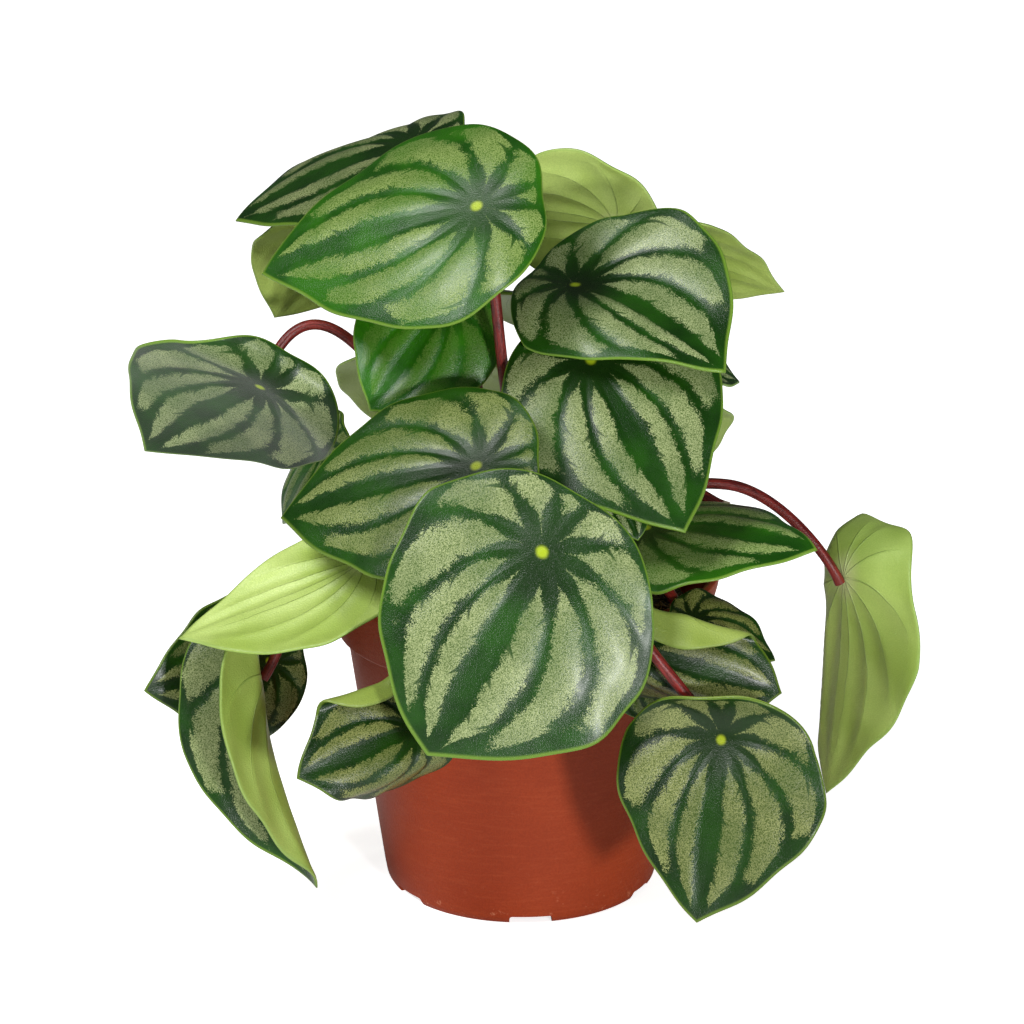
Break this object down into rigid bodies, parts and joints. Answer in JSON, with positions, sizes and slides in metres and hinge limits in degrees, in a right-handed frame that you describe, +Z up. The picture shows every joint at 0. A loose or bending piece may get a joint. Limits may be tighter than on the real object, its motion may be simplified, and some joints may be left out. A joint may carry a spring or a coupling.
{
  "type": "potted house plant",
  "caption": "Watermelon peperomia in a plastic nursery pot: a rosette of striped round leaves on red stalks over a stepped round pot.",
  "frame": {"origin": "centre of the pot's flat underside", "axes": "+Z up the pot's axis; the plant's front faces -Y and its right side is +X"},
  "size_m": [0.2156, 0.1919, 0.2126],
  "materials": {
    "terracotta_plastic": "terracotta-coloured moulded plastic with a satin sheen",
    "potting_soil": "dark peat potting soil with lighter grains, rough and matt",
    "crown_skin": "reddish-brown fleshy stem crown, softly matt",
    "leaf_skin": "smooth fleshy leaf, dark green with silver-green stripes, waxy sheen, lime-green underside",
    "petiole_skin": "smooth dark red fleshy stalk with a waxy sheen"
  },
  "bodies": {
    "root": {"pot": "terracotta_plastic", "soil": "potting_soil", "crown": "crown_skin", "stub": "petiole_skin", "leaf_01": "leaf_skin", "petiole_01": "petiole_skin", "leaf_02": "leaf_skin", "petiole_02": "petiole_skin", "leaf_03": "leaf_skin", "petiole_03": "petiole_skin", "leaf_04": "leaf_skin", "petiole_04": "petiole_skin", "leaf_05": "leaf_skin", "petiole_05": "petiole_skin", "leaf_06": "leaf_skin", "petiole_06": "petiole_skin", "leaf_07": "leaf_skin", "petiole_07": "petiole_skin", "leaf_08": "leaf_skin", "petiole_08": "petiole_skin", "leaf_09": "leaf_skin", "petiole_09": "petiole_skin", "leaf_10": "leaf_skin", "petiole_10": "petiole_skin", "leaf_11": "leaf_skin", "petiole_11": "petiole_skin", "leaf_12": "leaf_skin", "petiole_12": "petiole_skin", "leaf_13": "leaf_skin", "petiole_13": "petiole_skin", "leaf_14": "leaf_skin", "petiole_14": "petiole_skin", "leaf_15": "leaf_skin", "petiole_15": "petiole_skin", "leaf_16": "leaf_skin", "petiole_16": "petiole_skin", "leaf_17": "leaf_skin", "petiole_17": "petiole_skin", "leaf_18": "leaf_skin", "petiole_18": "petiole_skin", "leaf_19": "leaf_skin", "petiole_19": "petiole_skin", "leaf_20": "leaf_skin", "petiole_20": "petiole_skin", "leaf_21": "leaf_skin", "petiole_21": "petiole_skin", "leaf_22": "leaf_skin", "petiole_22": "petiole_skin", "leaf_23": "leaf_skin", "petiole_23": "petiole_skin", "leaf_24": "leaf_skin", "petiole_24": "petiole_skin", "leaf_25": "leaf_skin", "petiole_25": "petiole_skin", "leaf_26": "leaf_skin", "petiole_26": "petiole_skin", "leaf_27": "leaf_skin", "petiole_27": "petiole_skin", "leaf_28": "leaf_skin", "petiole_28": "petiole_skin"}
  },
  "joints": []
}
